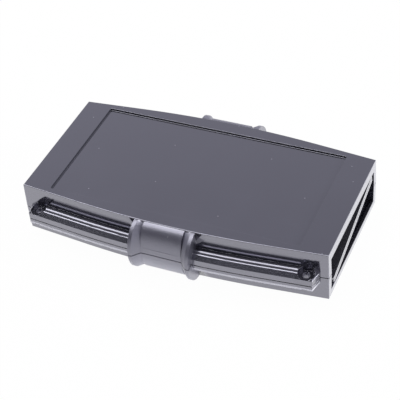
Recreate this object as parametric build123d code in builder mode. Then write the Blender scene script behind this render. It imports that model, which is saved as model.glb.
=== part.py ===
"""Clamshell electronics housing: two moulded half shells and two blank end panels.

The halves meet on a level parting plane. Each long side carries a flange with a bead, a screw
lug near each end and a spool-shaped bulge in the middle. Both short ends are open, with slots
for flat end panels. The two panels lie loose inside the right-hand mouth.

Frame: origin at the bottom centre, +X along the housing, +Z up. Millimetres and degrees.
"""
import os
from math import asin, atan, cos, degrees, hypot, radians, sin, tan

from build123d import *

os.makedirs("parts", exist_ok=True)

# ---------------------------------------------------------------- body of each half
length = 100.3              # on the parting plane
end_width = 45.25           # across the body at its short ends, on the parting plane
side_angle = 5.4            # how steeply the long sides run out towards the middle
bow_half_length = 30.0      # the middle of each long side is an arc over twice this
shell_height = 8.8          # each half, from the parting plane to its outer face
wall = 2.2
roof_thickness = 3.2        # of the upper half, outside its recess
floor_thickness = 2.2       # of the lower half
draft = 1.0                 # mould draft of the outer walls
edge_radius = 0.2           # round on the outer face's edges

# ---------------------------------------------------------------- label recess, upper half
recess_end_margin = 9.15    # from the short ends
recess_side_margin = 1.375  # from the body's corners
recess_depth = 0.7
recess_corner = 0.5
recess_fillet = 0.25        # round its floor
recess_rim_round = 0.1

# ---------------------------------------------------------------- side flanges and lugs
flange_reach = 4.4          # beyond the side wall
flange_height = 3.05        # each half, from the parting plane
flange_slope_width = 1.6    # sloping margin along its outer edge
flange_slope_drop = 1.05
flange_slope_round = 0.5    # where the margin starts
lug_tip_inset = 3.55        # from the short end to the lug's outer corner
lug_root_inset = 2.25       # from the short end to where the lug's end face meets the wall
bead_inner = 1.0            # bead on the flange, distances from the side wall
bead_outer = 1.75
bead_height = 0.2
bead_flank_angle = 60.0     # slope of its flanks, from upright
bead_end_inset = 7.75       # from the short end

# ---------------------------------------------------------------- screw holes in the lugs
hole_inset = 6.05           # from the short end
hole_reach = 2.0            # beyond the side wall
hole_radius = 1.2
seat_radius = 2.5
seat_height = 1.8           # lug thickness left under a screw head

# ---------------------------------------------------------------- spools on the long sides
barrel_reach = 4.45         # beyond the side wall
barrel_half_length = 6.6
rim_reach = 6.75
rim_inner_x = 8.8           # the flare runs from the barrel's end to here
rim_outer_x = 9.9

# ---------------------------------------------------------------- end panels and their slots
panel_thickness = 1.15
panel_corner = 0.8
panel_side_clearance = 1.0
panel_slot_clearance = 0.2
slot_depth = 1.0
slot_lip = 1.1              # wall left between the slot and the open end
stowed_inset = 0.2          # stowed panels stop short of the mouth
stowed_clearance = 0.1      # above and below the stowed pair
stowed_shift = 0.7          # the pair lies nearer to the back wall

# ---------------------------------------------------------------- parting line
gap_depth = 0.25
gap_height = 0.3

# ---------------------------------------------------------------- worked out from the above
half_length = length / 2
half_width = end_width / 2
side_slope = tan(radians(side_angle))
bow_rise = bow_half_length * tan(radians(side_angle / 2))
mid_half_width = half_width + side_slope * (half_length - bow_half_length) + bow_rise
draft_shift = shell_height * tan(radians(draft))
ceiling_height = shell_height - roof_thickness
floor_depth = shell_height - floor_thickness
recess_length = length - 2 * recess_end_margin
recess_width = end_width - 2 * recess_side_margin
lug_tip_x = half_length - lug_tip_inset
lug_root_x = half_length - lug_root_inset
bead_half_length = half_length - bead_end_inset
hole_spacing_x = length - 2 * hole_inset
hole_spacing_y = 2 * (half_width + side_slope * hole_inset + hole_reach)
spool_height = shell_height - edge_radius
spool_root = mid_half_width - draft_shift
overrun = 1.0
mouth_half_width = half_width - wall
slot_width = panel_thickness + panel_slot_clearance
panel_length = 2 * (mouth_half_width - panel_side_clearance)
panel_height = ceiling_height + floor_depth + 2 * (slot_depth - panel_slot_clearance)

UP, DOWN = 1, -1
RIGHT, LEFT = 1, -1
BACK, FRONT = 1, -1


def parting_plane(direction):
    """The parting plane, with its normal pointing into the upper or the lower half."""
    return Plane(origin=(0, 0, shell_height), x_dir=(1, 0, 0), z_dir=(0, 0, direction))


def section_plane(x, side, direction):
    """A plane across the housing: local X points out of one long side, local Y up or down."""
    return Plane(origin=(x, 0, shell_height), x_dir=(0, side, 0), z_dir=(side * direction, 0, 0))


def side_y(x, beyond):
    """Half width of the plan on the straight run of a long side, beyond the side wall."""
    return half_width + beyond + side_slope * (half_length - x)


def draw_plan(beyond, end_x, end_chain=()):
    """Plan of the body, or of an outline beyond (or inside) its long sides.

    end_chain adds points to one quarter's end, from the long side towards the middle.
    """
    corner = (end_x, side_y(end_x, beyond))
    bow_end = (bow_half_length, side_y(bow_half_length, beyond))
    chain = [corner, *end_chain]
    right_end = [(x, -y) for x, y in chain] + chain[::-1]
    with BuildLine() as outline:
        for turn in (1, -1):
            Polyline(*[(turn * x, turn * y) for x, y in right_end])
            run = Line((turn * corner[0], turn * corner[1]), (turn * bow_end[0], turn * bow_end[1]))
            bow = TangentArc(run @ 1, (-turn * bow_end[0], turn * bow_end[1]), tangent=run % 1)
            Line(bow @ 1, (-turn * corner[0], turn * corner[1]))
    make_face(outline.edges())


def draw_flange():
    """Plan of the flange, whose end faces slant back to the wall."""
    root = (lug_root_x, side_y(lug_root_x, -wall / 2))
    draw_plan(flange_reach, lug_tip_x, [root])


def draw_spool_section(swell, rise):
    """Half of a spool's section: a quarter ellipse that stands on the body's side wall."""
    with BuildLine() as outline:
        crown = EllipticalCenterArc((spool_root, 0), swell, rise)
        Polyline(crown @ 1, (0, rise), (0, 0), crown @ 0)
    make_face(outline.edges())


def spool_section(x, side, direction, reach):
    """The spool's full half section, placed across the housing at x."""
    with BuildSketch(section_plane(x, side, direction)) as section:
        draw_spool_section(reach + draft_shift, spool_height)
    return section.sketch


def add_flange(direction):
    """Flange round the parting plane, with a margin that slopes down to its outer edge."""
    with BuildSketch(parting_plane(direction)) as plan:
        draw_flange()
    extrude(plan.sketch, amount=flange_height)
    outward = Axis((0, 0, shell_height), (0, 0, direction))
    slope_y = side_y(lug_tip_x, flange_reach - 2 * flange_slope_width)
    flat = faces().sort_by(outward)[-1]
    rim = flat.edges().filter_by(lambda edge: abs(edge.center().Y) > slope_y)
    chamfer(rim, flange_slope_width, flange_slope_drop, reference=flat)
    flat = faces().sort_by(outward)[-1]
    rim = flat.edges().filter_by(lambda edge: abs(edge.center().Y) > slope_y)
    fillet(rim, flange_slope_round)


def add_bead(direction):
    """Raised bead that runs along each flange between its screw seats."""
    with BuildSketch(parting_plane(direction).offset(flange_height)) as strips:
        draw_plan(bead_outer, bead_half_length)
        with BuildSketch(mode=Mode.PRIVATE) as inside:
            draw_plan(bead_inner, bead_half_length + overrun)
        add(inside.sketch_local, mode=Mode.SUBTRACT)
    extrude(strips.sketch, amount=bead_height, taper=bead_flank_angle)


def cut_screw_lugs(direction):
    """Clearance holes and screw head seats; the side wall added later closes each seat."""
    with BuildSketch(parting_plane(direction).offset(seat_height)) as seats:
        with GridLocations(hole_spacing_x, hole_spacing_y, 2, 2):
            Circle(seat_radius)
    extrude(seats.sketch, amount=flange_height + bead_height - seat_height, mode=Mode.SUBTRACT)
    with BuildSketch(parting_plane(direction)) as holes:
        with GridLocations(hole_spacing_x, hole_spacing_y, 2, 2):
            Circle(hole_radius)
    extrude(holes.sketch, amount=seat_height, mode=Mode.SUBTRACT)


def add_body(direction):
    """Drafted block of one half, with rounded edges round its outer face."""
    with BuildSketch(parting_plane(direction)) as plan:
        draw_plan(0, half_length)
    extrude(plan.sketch, amount=shell_height, taper=draft)
    outward = Axis((0, 0, shell_height), (0, 0, direction))
    outer_face = faces().sort_by(outward)[-1]
    fillet(outer_face.edges(), edge_radius)


def add_spool(side, direction):
    """Half of a spool: a barrel, two rims and the flares that slope from rim to barrel."""
    ahead = side * direction
    barrel = spool_section(-barrel_half_length, side, direction, barrel_reach)
    extrude(barrel, amount=2 * barrel_half_length * ahead)
    flare_run = rim_inner_x - barrel_half_length
    flare_drop = rim_reach - barrel_reach
    for end in (LEFT, RIGHT):
        rim = spool_section(end * rim_inner_x, side, direction, rim_reach)
        extrude(rim, amount=(rim_outer_x - rim_inner_x) * end * ahead)
        slope = (-end * flare_run, -side * flare_drop, 0)
        extrude(rim, amount=hypot(flare_run, flare_drop), dir=slope)


def cut_cavity(direction, depth):
    """Inside of one half, open at both short ends, with a hollow behind each barrel."""
    with BuildSketch(parting_plane(direction)) as plan:
        draw_plan(-wall, half_length + overrun)
    extrude(plan.sketch, amount=depth, mode=Mode.SUBTRACT)
    hollow_half_length = barrel_half_length - wall / 2
    hollow_swell = barrel_reach + draft_shift - wall
    for side in (BACK, FRONT):
        with BuildSketch(section_plane(-hollow_half_length, side, direction)) as hollow:
            draw_spool_section(hollow_swell, depth)
        extrude(hollow.sketch, amount=2 * hollow_half_length * side * direction, mode=Mode.SUBTRACT)


def cut_panel_slots(direction, depth):
    """Slots across the cavity, one near each open end, that hold the end panels."""
    slot_x = half_length - slot_lip - slot_width / 2
    with BuildSketch(parting_plane(direction).offset(depth)) as slots:
        with Locations((slot_x, 0), (-slot_x, 0)):
            Rectangle(slot_width, 2 * mouth_half_width)
    extrude(slots.sketch, amount=slot_depth, mode=Mode.SUBTRACT)


def cut_recess():
    """Shallow recess for a label in the upper half's outer face, with softened edges."""
    with BuildSketch(Plane.XY.offset(2 * shell_height)) as recess:
        RectangleRounded(recess_length, recess_width, recess_corner)
    extrude(recess.sketch, amount=-recess_depth, mode=Mode.SUBTRACT)
    recess_floor = faces(Select.LAST).sort_by(Axis.Z)[0]
    fillet(recess_floor.edges(), recess_fillet)
    outer_face = faces().filter_by(Axis.Z).group_by(Axis.Z)[-1][0]
    fillet(outer_face.inner_wires()[0].edges(), recess_rim_round)


def draw_spool_plan(side):
    """Plan of one spool on the parting plane, from the middle of the body outwards."""
    barrel_y = side * (mid_half_width + barrel_reach)
    rim_y = side * (mid_half_width + rim_reach)
    quarter = [(barrel_half_length, barrel_y), (rim_inner_x, rim_y), (rim_outer_x, rim_y)]
    right = quarter + [(rim_outer_x, 0)]
    left = [(-x, y) for x, y in reversed(right)]
    with BuildLine() as outline:
        Polyline(*left, *right, close=True)
    make_face(outline.edges())


def cut_parting_gap(direction):
    """Shallow groove all round one half, just beside the parting plane."""
    with BuildSketch(parting_plane(direction)) as ring:
        draw_plan(0, half_length)
        draw_flange()
        draw_spool_plan(BACK)
        draw_spool_plan(FRONT)
        offset(amount=-gap_depth, kind=Kind.INTERSECTION, mode=Mode.SUBTRACT)
    extrude(ring.sketch, amount=gap_height, mode=Mode.SUBTRACT)


# ---------------------------------------------------------------- upper shell
with BuildPart() as upper_shell:
    add_flange(UP)
    add_bead(UP)
    cut_screw_lugs(UP)
    add_body(UP)
    add_spool(BACK, UP)
    add_spool(FRONT, UP)
    cut_cavity(UP, ceiling_height)
    cut_panel_slots(UP, ceiling_height)
    cut_recess()
upper_shell.part.label = "upper_shell"

# ---------------------------------------------------------------- lower shell
with BuildPart() as lower_shell:
    add_flange(DOWN)
    add_bead(DOWN)
    cut_screw_lugs(DOWN)
    add_body(DOWN)
    add_spool(BACK, DOWN)
    add_spool(FRONT, DOWN)
    cut_cavity(DOWN, floor_depth)
    cut_panel_slots(DOWN, floor_depth)
    cut_parting_gap(DOWN)
lower_shell.part.label = "lower_shell"

# ---------------------------------------------------------------- end panels
# The pair leans corner to corner across the mouth, as steeply as its height allows.
pair_thickness = 2 * panel_thickness
mouth_height = ceiling_height + floor_depth
lean = degrees(
    asin((mouth_height - 2 * stowed_clearance) / hypot(panel_length, pair_thickness))
    - atan(pair_thickness / panel_length)
)
mouth_centre_z = shell_height + (ceiling_height - floor_depth) / 2
stowed_plane = Plane(
    origin=(half_length - stowed_inset, stowed_shift, mouth_centre_z),
    x_dir=(0, cos(radians(lean)), sin(radians(lean))),
    z_dir=(-1, 0, 0),
)


def draw_panel_edge(layer):
    """One panel of the pair, seen from the mouth: layer is +1 or -1 across its thickness."""
    with Locations((0, layer * panel_thickness / 2)):
        Rectangle(panel_length, panel_thickness)


with BuildPart() as end_panel_a:
    with BuildSketch(stowed_plane):
        draw_panel_edge(-1)
    extrude(amount=panel_height)
    fillet(edges().group_by(SortBy.LENGTH)[0], panel_corner)
end_panel_a.part.label = "end_panel_a"

with BuildPart() as end_panel_b:
    with BuildSketch(stowed_plane):
        draw_panel_edge(1)
    extrude(amount=panel_height)
    fillet(edges().group_by(SortBy.LENGTH)[0], panel_corner)
end_panel_b.part.label = "end_panel_b"

# ---------------------------------------------------------------- export
export_step(upper_shell.part, "parts/upper_shell.step")
export_step(lower_shell.part, "parts/lower_shell.step")
export_step(end_panel_a.part, "parts/end_panel_a.step")
export_step(end_panel_b.part, "parts/end_panel_b.step")
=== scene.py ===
"""Dress the clamshell electronics housing, a moulded plastic case with open ends.

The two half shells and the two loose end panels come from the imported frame. This file gives
them their finishes and sets the table, the lamps and the camera.
"""
import math

import bpy
from mathutils import Matrix, Vector


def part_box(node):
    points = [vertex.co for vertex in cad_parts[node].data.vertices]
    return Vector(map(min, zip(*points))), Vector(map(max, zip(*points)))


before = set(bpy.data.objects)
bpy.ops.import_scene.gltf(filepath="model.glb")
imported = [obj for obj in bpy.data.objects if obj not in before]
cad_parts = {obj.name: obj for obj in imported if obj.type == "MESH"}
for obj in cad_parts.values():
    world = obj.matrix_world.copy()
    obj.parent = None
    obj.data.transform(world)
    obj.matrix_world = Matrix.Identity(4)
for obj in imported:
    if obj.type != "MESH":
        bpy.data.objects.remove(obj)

bl_info = {
    "name": "Clamshell Housing Dresser",
    "version": (1, 0, 0),
    "blender": (4, 5, 0),
    "location": "View3D > Sidebar > Housing",
    "description": "Finishes a moulded clamshell housing and sets its table, lamps and camera",
    "category": "Object",
}

MM = 0.001
SHELLS = ("upper_shell", "lower_shell")
PANELS = ("end_panel_a", "end_panel_b")
PARTING_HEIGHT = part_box("lower_shell")[1][2]

# Where the regions of the shells start and end. Heights are from the parting plane.
SPOOL_END = 9.95 * MM       # outer side of the spools' rims, along the housing
SPOOL_ROOT = 26 * MM        # where the spools leave the long sides
SPOOL_DEPTH = 5 * MM        # how far down the painted reflection under the spools grows paler
SIDE_TAPER = 0.0945         # how fast the long sides close in towards the ends
FLANGE_ROOT = 27.8 * MM     # just outside the long sides, once their taper is added back
FLANGE_CREST = 2.9 * MM     # just under the flanges' flat tops
FOOT_START = 1.2 * MM       # the painted highlight on the flanges' foot starts here, going down
FOOT_FULL = 1.35 * MM       # and is at its palest from here
LUG_ROOT = 41.4 * MM        # where the screw lugs start, along the housing
RECESS_TOP = 8.78 * MM      # just under the upper outer face
RECESS_FLOOR = 8.13 * MM    # just over the recess's floor
RECESS_HALF_LENGTH = 42 * MM
RECESS_HALF_WIDTH = 21.8 * MM
END_FACE = 49.9 * MM        # just short of the end faces, along the housing

# The plane in which the two stowed panels touch, and the painted shade line drawn along it.
PAIR_NORMAL = (0, -0.2516, 0.9678)
PAIR_HEIGHT = 7.857 * MM    # along the plane's normal
SEAM_INNER = 0.12 * MM      # the line is at its darkest within this distance
SEAM_OUTER = 0.2 * MM       # and has faded out at this one

SPECK_RADIUS = 0.22 * MM
CLOUD_SIZE = 20 * MM        # of the faint clouds in the shells' gloss
SCUFF_SIZE = 8 * MM         # of the duller patches on the panels
GRAIN_HEIGHT = 0.1 * MM
EDGE_ROUND = 0.08 * MM      # rounding that the shading gives to the moulding's edges
FLANGE_ROUND = 0.22 * MM    # and to the edges of the flanges

CURTAIN_SIDE = (-0.343, -0.75, 0.566)   # direction of the dark curtain from the housing
AIM_LEFT = 0.255 * MM       # the camera looks this far to its left of the housing's middle
AIM_DOWN = 2.016 * MM       # and this far below it, in the camera's own directions


def linear(hex_colour, alpha=True):
    """An sRGB hex colour as linear values."""
    parts = [int(hex_colour[i:i + 2], 16) / 255 for i in (1, 3, 5)]
    parts = [p / 12.92 if p <= 0.04045 else ((p + 0.055) / 1.055) ** 2.4 for p in parts]
    return (*parts, 1.0) if alpha else tuple(parts)


# The plastic has one colour. These paler shades are painted on by place and matched from
# one side, in place of light that the faces mirror or scatter, so they stay pale in any light.
SPOOL_PAINTED_SHEEN = linear("#4e4d5a")
SPOOL_UNDERSIDE_PAINTED_REFLECTION = linear("#a8a8b6")
RIDGE_PAINTED_SHEEN = linear("#43434b")
CREST_PAINTED_HIGHLIGHT = linear("#5e5e66")
FOOT_PAINTED_HIGHLIGHT = linear("#dedee6")
SHELL_END_PAINTED_LIGHT = linear("#8a8a92")
PANEL_END_PAINTED_LIGHT = linear("#a0a0a8")
# A painted shade, standing in for the dark gap between the two stowed panels.
SEAM_PAINTED_SHADE = linear("#08080a")
LINT_COLOUR = linear("#8f8f98")

ROOM_COLOUR = (0.905, 0.9, 1.0, 1)
CURTAIN_COLOUR = (0.07, 0.07, 0.09, 1)


# ---------------------------------------------------------------- settings
class PlasticSettings(bpy.types.PropertyGroup):
    """Colours and finish of the moulded plastic."""

    shell_colour: bpy.props.FloatVectorProperty(
        name="Shell colour", description="Body colour of both half shells",
        subtype="COLOR", size=4, min=0, max=1, default=linear("#34343b"))
    panel_colour: bpy.props.FloatVectorProperty(
        name="Panel colour", description="Body colour of the loose end panels",
        subtype="COLOR", size=4, min=0, max=1, default=linear("#3f3f45"))
    shell_roughness: bpy.props.FloatProperty(
        name="Shell roughness", description="Roughness of the polished mould's faces",
        subtype="FACTOR", min=0, max=1, default=0.12)
    spool_roughness: bpy.props.FloatProperty(
        name="Spool roughness", description="Roughness of the spark-eroded spools",
        subtype="FACTOR", min=0, max=1, default=0.46)
    grain_size: bpy.props.FloatProperty(
        name="Grain size", description="Spacing of the spark-eroded grain on the spools",
        subtype="DISTANCE", unit="LENGTH", min=0.0001, max=0.01, default=0.45 * MM)
    dust_spacing: bpy.props.FloatProperty(
        name="Dust spacing", description="About how far apart the specks of lint lie",
        subtype="DISTANCE", unit="LENGTH", min=0.001, max=0.1, default=22 * MM)


class StageSettings(bpy.types.PropertyGroup):
    """Where the camera and the lamps stand."""

    azimuth: bpy.props.FloatProperty(
        name="Camera azimuth", description="Turn of the camera round the housing",
        subtype="ANGLE", unit="ROTATION", default=math.radians(27.121))
    elevation: bpy.props.FloatProperty(
        name="Camera elevation", description="Height of the camera over the table, as an angle",
        subtype="ANGLE", unit="ROTATION", default=math.radians(41.171))
    roll: bpy.props.FloatProperty(
        name="Camera roll", description="Tilt of the camera about its own axis",
        subtype="ANGLE", unit="ROTATION", default=math.radians(-5.854))
    distance: bpy.props.FloatProperty(
        name="Camera distance", description="From the camera to the middle of the housing",
        subtype="DISTANCE", unit="LENGTH", min=0.05, default=389.457 * MM)
    focal_length: bpy.props.FloatProperty(
        name="Focal length", description="Lens of the camera, in millimetres",
        subtype="DISTANCE_CAMERA", min=10, default=111.42)
    table_size: bpy.props.FloatProperty(
        name="Table size", description="Width of the white table",
        subtype="DISTANCE", unit="LENGTH", min=0.1, default=3.0)


# ---------------------------------------------------------------- materials
def add_node(tree, kind, inputs=None, links=None, **settings):
    """Add a shader node, set its fields and inputs, and link what feeds it."""
    node = tree.nodes.new(kind)
    for name, value in settings.items():
        setattr(node, name, value)
    for socket, value in (inputs or {}).items():
        node.inputs[socket].default_value = value
    for socket, source in (links or {}).items():
        tree.links.new(source, node.inputs[socket])
    return node


def new_material(name):
    """An empty node material with its output, and the object coordinates that patterns use."""
    material = bpy.data.materials.new(name)
    material.use_nodes = True
    tree = material.node_tree
    tree.nodes.clear()
    output = add_node(tree, "ShaderNodeOutputMaterial")
    place = add_node(tree, "ShaderNodeTexCoord")
    return material, tree, output, place.outputs["Object"]


def math_node(tree, operation, *values):
    """A Math node; each value is a number or the socket that feeds it. Returns its output."""
    numbers = {at: value for at, value in enumerate(values) if isinstance(value, (int, float))}
    sockets = {at: value for at, value in enumerate(values) if at not in numbers}
    node = add_node(tree, "ShaderNodeMath", numbers, sockets, operation=operation)
    return node.outputs["Value"]


def fade(tree, value, start, end, low=0.0, high=1.0):
    """A value that runs from low at start to high at end, and stays there."""
    node = add_node(tree, "ShaderNodeMapRange", {"From Min": start, "From Max": end,
                    "To Min": low, "To Max": high}, {"Value": value})
    return node.outputs["Result"]


def vary(tree, mask, low, high):
    """A value that is low where the mask is 0 and high where it is 1."""
    return fade(tree, mask, 0.0, 1.0, low, high)


def both(tree, first, second):
    """A mask of what two masks share."""
    return math_node(tree, "MULTIPLY", first, second)


def shell_masks(tree, place):
    """Masks of the shells' regions, by name."""
    axes = add_node(tree, "ShaderNodeSeparateXYZ", {}, {"Vector": place})
    along = math_node(tree, "ABSOLUTE", axes.outputs["X"])
    across = math_node(tree, "ABSOLUTE", axes.outputs["Y"])
    below = math_node(tree, "SUBTRACT", PARTING_HEIGHT, axes.outputs["Z"])
    height = math_node(tree, "MULTIPLY", below, -1.0)

    inside = fade(tree, along, SPOOL_END + 0.1 * MM, SPOOL_END - 0.1 * MM)
    outside = fade(tree, across, SPOOL_ROOT - 0.2 * MM, SPOOL_ROOT + 0.2 * MM)
    spool = both(tree, inside, outside)

    reach = math_node(tree, "MULTIPLY_ADD", along, SIDE_TAPER, across)
    flange = both(tree, math_node(tree, "GREATER_THAN", reach, FLANGE_ROOT),
                  math_node(tree, "SUBTRACT", 1.0, inside))

    over_recess = both(tree, math_node(tree, "LESS_THAN", along, RECESS_HALF_LENGTH),
                       math_node(tree, "LESS_THAN", across, RECESS_HALF_WIDTH))
    in_wall = both(tree, math_node(tree, "LESS_THAN", height, RECESS_TOP),
                   math_node(tree, "GREATER_THAN", height, RECESS_FLOOR))
    return {
        "spool": spool,
        "underneath": both(tree, spool, fade(tree, below, 0.0, SPOOL_DEPTH)),
        "flange": flange,
        "ridge": both(tree, flange, math_node(tree, "LESS_THAN", along, LUG_ROOT)),
        "crest": both(tree, flange, math_node(tree, "LESS_THAN", below, -FLANGE_CREST)),
        "foot": both(tree, flange, fade(tree, below, FOOT_START, FOOT_FULL)),
        "recess_wall": both(tree, over_recess, in_wall),
        "end_face": math_node(tree, "GREATER_THAN", along, END_FACE),
    }


def blend(tree, mask, first, second):
    """A colour that is first where the mask is 0 and second where it is 1."""
    colours = {6: first, 7: second}
    fixed = {at: value for at, value in colours.items() if isinstance(value, tuple)}
    linked = {at: value for at, value in colours.items() if at not in fixed}
    node = add_node(tree, "ShaderNodeMix", fixed, {0: mask, **linked}, data_type="RGBA")
    return node.outputs[2]


def glossy_abs(name, plastic):
    """Black ABS from a polished mould: deep gloss, grained spools, painted highlights and sheen
    by place, a few specks of lint.
    """
    material, tree, output, place = new_material(name)
    masks = shell_masks(tree, place)
    spool, flange = masks["spool"], masks["flange"]

    # Lint: pale specks under half a millimetre across, strewn over the housing. The pattern
    # reads only the place in plan, so a speck at a wall draws a line down it.
    lint = add_node(tree, "ShaderNodeTexVoronoi",
                    {"Scale": 1 / plastic.dust_spacing, "Randomness": 1.0}, {"Vector": place},
                    voronoi_dimensions="2D")
    speck = SPECK_RADIUS / plastic.dust_spacing
    lint_mask = fade(tree, lint.outputs["Distance"], speck, speck / 2)
    # Paler painted shades on the spools, their undersides, the flanges, their crests and feet,
    # and the end faces stand in for light; the lint specks are real dust.
    colour = tuple(plastic.shell_colour)
    for mask, shade in ((spool, SPOOL_PAINTED_SHEEN), (masks["underneath"], SPOOL_UNDERSIDE_PAINTED_REFLECTION),
                        (masks["ridge"], RIDGE_PAINTED_SHEEN), (masks["end_face"], SHELL_END_PAINTED_LIGHT),
                        (masks["crest"], CREST_PAINTED_HIGHLIGHT), (masks["foot"], FOOT_PAINTED_HIGHLIGHT),
                        (lint_mask, LINT_COLOUR)):
        colour = blend(tree, mask, colour, shade)

    # Handling leaves faint clouds in the gloss.
    cloud = add_node(tree, "ShaderNodeTexNoise", {"Scale": 1 / CLOUD_SIZE, "Detail": 3.0},
                     {"Vector": place})
    polish = fade(tree, cloud.outputs["Fac"], 0.3, 0.7, plastic.shell_roughness - 0.03,
                  plastic.shell_roughness + 0.04)
    roughness = add_node(tree, "ShaderNodeMix", {3: plastic.spool_roughness},
                         {0: spool, 2: polish})

    # Spark erosion roughens the spools; the polished faces keep only a slight ripple.
    grain = add_node(tree, "ShaderNodeTexNoise", {"Scale": 1 / plastic.grain_size, "Detail": 2.0},
                     {"Vector": place})
    depth = vary(tree, spool, 0.01, 0.5)
    # The moulding's edges are softly rounded, most of all along the flanges.
    rounding = vary(tree, flange, EDGE_ROUND, FLANGE_ROUND)
    edges = add_node(tree, "ShaderNodeBevel", {}, {"Radius": rounding}, samples=6)
    surface = add_node(tree, "ShaderNodeBump", {"Distance": GRAIN_HEIGHT},
                       {"Height": grain.outputs["Fac"], "Strength": depth,
                        "Normal": edges.outputs["Normal"]})
    gloss = vary(tree, flange, 0.06, 0.14)
    skin = add_node(tree, "ShaderNodeMix", {3: plastic.spool_roughness}, {0: spool, 2: gloss})
    # The recess's wall is made to mirror little, which draws a dark line round the recess.
    coat = vary(tree, masks["recess_wall"], 1.0, 0.1)
    level = vary(tree, masks["recess_wall"], 0.5, 0.1)
    # Both indexes are well over the 1.5 of ABS, to match the strong gloss.
    shader = add_node(tree, "ShaderNodeBsdfPrincipled",
                      {"IOR": 2.4, "Specular Tint": linear("#e4e2ff"), "Coat IOR": 2.0},
                      {"Base Color": colour, "Roughness": roughness.outputs[0],
                       "Specular IOR Level": level, "Coat Weight": coat,
                       "Normal": surface.outputs["Normal"],
                       "Coat Normal": surface.outputs["Normal"],
                       "Coat Roughness": skin.outputs[0]})
    tree.links.new(shader.outputs["BSDF"], output.inputs["Surface"])
    return material


def satin_abs(name, plastic):
    """Black ABS of the flat panels, duller than the shells, with faint patches in the gloss,
    painted light on their end faces and a painted shade line where they touch.
    """
    material, tree, output, place = new_material(name)
    scuff = add_node(tree, "ShaderNodeTexNoise", {"Scale": 1 / SCUFF_SIZE, "Detail": 1.0},
                     {"Vector": place})
    roughness = fade(tree, scuff.outputs["Fac"], 0.3, 0.7, 0.25, 0.33)
    # The end faces take a paler painted shade, standing in for the light they catch.
    axes = add_node(tree, "ShaderNodeSeparateXYZ", {}, {"Vector": place})
    end_face = math_node(tree, "GREATER_THAN", axes.outputs["X"], END_FACE)
    colour = blend(tree, end_face, tuple(plastic.panel_colour), PANEL_END_PAINTED_LIGHT)
    # A painted shade line, in place of the dark gap, parts the two panels where they lie on each
    # other.
    along_normal = add_node(tree, "ShaderNodeVectorMath", {1: PAIR_NORMAL}, {0: place},
                            operation="DOT_PRODUCT")
    offset = math_node(tree, "SUBTRACT", along_normal.outputs["Value"], PAIR_HEIGHT)
    seam = fade(tree, math_node(tree, "ABSOLUTE", offset), SEAM_OUTER, SEAM_INNER)
    colour = blend(tree, seam, colour, SEAM_PAINTED_SHADE)
    level = vary(tree, seam, 0.5, 0.0)
    coat = vary(tree, seam, 1.0, 0.0)
    # Both indexes are well over the 1.5 of ABS, to match the panels' sheen.
    shader = add_node(tree, "ShaderNodeBsdfPrincipled",
                      {"IOR": 2.6, "Specular Tint": linear("#f2f2ff"), "Coat Roughness": 0.2,
                       "Coat IOR": 2.0},
                      {"Base Color": colour, "Roughness": roughness,
                       "Specular IOR Level": level, "Coat Weight": coat})
    tree.links.new(shader.outputs["BSDF"], output.inputs["Surface"])
    return material


def table_white(name):
    """Matt white table that reads as pure white and keeps a faint shadow."""
    material, tree, output, _ = new_material(name)
    rays = add_node(tree, "ShaderNodeLightPath")
    seen = math_node(tree, "MAXIMUM", rays.outputs["Is Camera Ray"],
                     rays.outputs["Is Glossy Ray"])
    clean = math_node(tree, "MULTIPLY", seen, 0.98)
    glow = add_node(tree, "ShaderNodeEmission", {"Color": (1, 1, 1, 1), "Strength": 1.0})
    paint = add_node(tree, "ShaderNodeBsdfDiffuse", {"Color": linear("#f4f4f4")})
    mix = add_node(tree, "ShaderNodeMixShader", {},
                   {0: clean, 1: paint.outputs["BSDF"], 2: glow.outputs["Emission"]})
    tree.links.new(mix.outputs["Shader"], output.inputs["Surface"])
    return material


def set_material(name, material):
    """Give every slot of a CAD node's object one material."""
    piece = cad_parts[name]
    if not piece.material_slots:
        piece.data.materials.append(material)
    for slot in piece.material_slots:
        slot.material = material


# ---------------------------------------------------------------- operators
class HOUSING_OT_finish_shells(bpy.types.Operator):
    """Give both half shells their moulded gloss"""

    bl_idname = "housing.finish_shells"
    bl_label = "Finish Half Shells"

    def execute(self, context):
        plastic = context.scene.housing_plastic
        material = glossy_abs("glossy moulded ABS", plastic)
        for name in SHELLS:
            set_material(name, material)
        return {"FINISHED"}


class HOUSING_OT_finish_panels(bpy.types.Operator):
    """Give the loose end panels their satin finish"""

    bl_idname = "housing.finish_panels"
    bl_label = "Finish End Panels"

    def execute(self, context):
        plastic = context.scene.housing_plastic
        material = satin_abs("satin moulded ABS", plastic)
        for name in PANELS:
            set_material(name, material)
        return {"FINISHED"}


def add_lamp(name, place, target, size, strength, colour="#ffffff"):
    """A square softbox at place, turned to target; strength is its own brightness."""
    data = bpy.data.lights.new(name, "AREA")
    data.shape = "RECTANGLE"
    data.size, data.size_y = size
    data.energy = strength * math.pi * data.size * data.size_y
    data.color = linear(colour, alpha=False)
    lamp = bpy.data.objects.new(name, data)
    bpy.context.scene.collection.objects.link(lamp)
    place = Vector(place)
    lamp.location = place
    lamp.rotation_euler = (Vector(target) - place).to_track_quat("-Z", "Y").to_euler()
    return lamp


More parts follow.
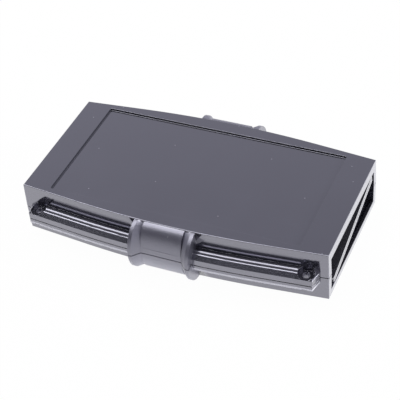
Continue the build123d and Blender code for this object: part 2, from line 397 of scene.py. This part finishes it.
class HOUSING_OT_set_stage(bpy.types.Operator):
    """Set the white table, the lamps, the world and the camera"""

    bl_idname = "housing.set_stage"
    bl_label = "Set Stage"

    def execute(self, context):
        stage = context.scene.housing_stage
        scene = context.scene
        scene.view_settings.view_transform = "Standard"

        half = stage.table_size / 2
        data = bpy.data.meshes.new("table")
        data.from_pydata([(-half, -half, 0), (half, -half, 0), (half, half, 0), (-half, half, 0)],
                         [], [(0, 1, 2, 3)])
        data.materials.append(table_white("matt white laminate"))
        table = bpy.data.objects.new("table", data)
        scene.collection.objects.link(table)

        world = bpy.data.worlds.new("studio")
        scene.world = world
        world.use_nodes = True
        tree = world.node_tree
        tree.nodes.clear()
        output = add_node(tree, "ShaderNodeOutputWorld")
        towards = add_node(tree, "ShaderNodeTexCoord").outputs["Generated"]
        # A dark curtain stands in front; the rest of the room is pale grey.
        facing = add_node(tree, "ShaderNodeVectorMath", {1: CURTAIN_SIDE}, {0: towards},
                          operation="DOT_PRODUCT")
        dark = fade(tree, facing.outputs["Value"], 0.45, 0.75)
        room = blend(tree, dark, ROOM_COLOUR, CURTAIN_COLOUR)
        # The room is a little dimmer overhead.
        axes = add_node(tree, "ShaderNodeSeparateXYZ", {}, {"Vector": towards})
        strength = fade(tree, axes.outputs["Z"], 0.59, 0.70, 0.50, 0.38)
        sky = add_node(tree, "ShaderNodeBackground", {}, {"Color": room, "Strength": strength})
        tree.links.new(sky.outputs["Background"], output.inputs["Surface"])

        middle = (0, 0, PARTING_HEIGHT)
        add_lamp("overhead_softbox", (-0.29, 0.1, 0.7), (-0.29, 0.1, 0), (0.6, 0.7), 3.3)
        add_lamp("right_softbox", (0.9, 0.35, 0.3), middle, (0.5, 0.5), 10.0)

        turn, rise, roll = stage.azimuth, stage.elevation, stage.roll
        back = Vector((math.sin(turn) * math.cos(rise), -math.cos(turn) * math.cos(rise),
                       math.sin(rise)))
        level = Vector((math.cos(turn), math.sin(turn), 0))
        above = level.cross(-back)
        right = math.cos(roll) * level + math.sin(roll) * above
        up = math.cos(roll) * above - math.sin(roll) * level
        aim = Vector(middle) - AIM_LEFT * right - AIM_DOWN * up
        lens = bpy.data.cameras.new("camera")
        lens.lens = stage.focal_length
        lens.sensor_width = 36
        lens.clip_start = 0.01
        camera = bpy.data.objects.new("camera", lens)
        scene.collection.objects.link(camera)
        facing_back = Matrix((right, up, back)).transposed().to_4x4()
        camera.matrix_world = Matrix.Translation(aim + back * stage.distance) @ facing_back
        scene.camera = camera
        return {"FINISHED"}


class HOUSING_PT_sidebar(bpy.types.Panel):
    """Lists the housing's steps and settings"""

    bl_idname = "HOUSING_PT_sidebar"
    bl_label = "Housing"
    bl_space_type = "VIEW_3D"
    bl_region_type = "UI"
    bl_category = "Housing"

    def draw(self, context):
        column = self.layout.column()
        for step in STEPS:
            column.operator(step.bl_idname)
        for group in (context.scene.housing_plastic, context.scene.housing_stage):
            box = column.box()
            for name in group.__annotations__:
                box.prop(group, name)


STEPS = (HOUSING_OT_finish_shells, HOUSING_OT_finish_panels, HOUSING_OT_set_stage)
CLASSES = (PlasticSettings, StageSettings, *STEPS, HOUSING_PT_sidebar)


def register():
    for cls in CLASSES:
        bpy.utils.register_class(cls)
    bpy.types.Scene.housing_plastic = bpy.props.PointerProperty(type=PlasticSettings)
    bpy.types.Scene.housing_stage = bpy.props.PointerProperty(type=StageSettings)


def unregister():
    del bpy.types.Scene.housing_stage
    del bpy.types.Scene.housing_plastic
    for cls in reversed(CLASSES):
        bpy.utils.unregister_class(cls)


def main():
    register()
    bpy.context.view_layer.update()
    bpy.ops.housing.finish_shells()
    bpy.ops.housing.finish_panels()
    bpy.ops.housing.set_stage()


if __name__ == "__main__":
    main()
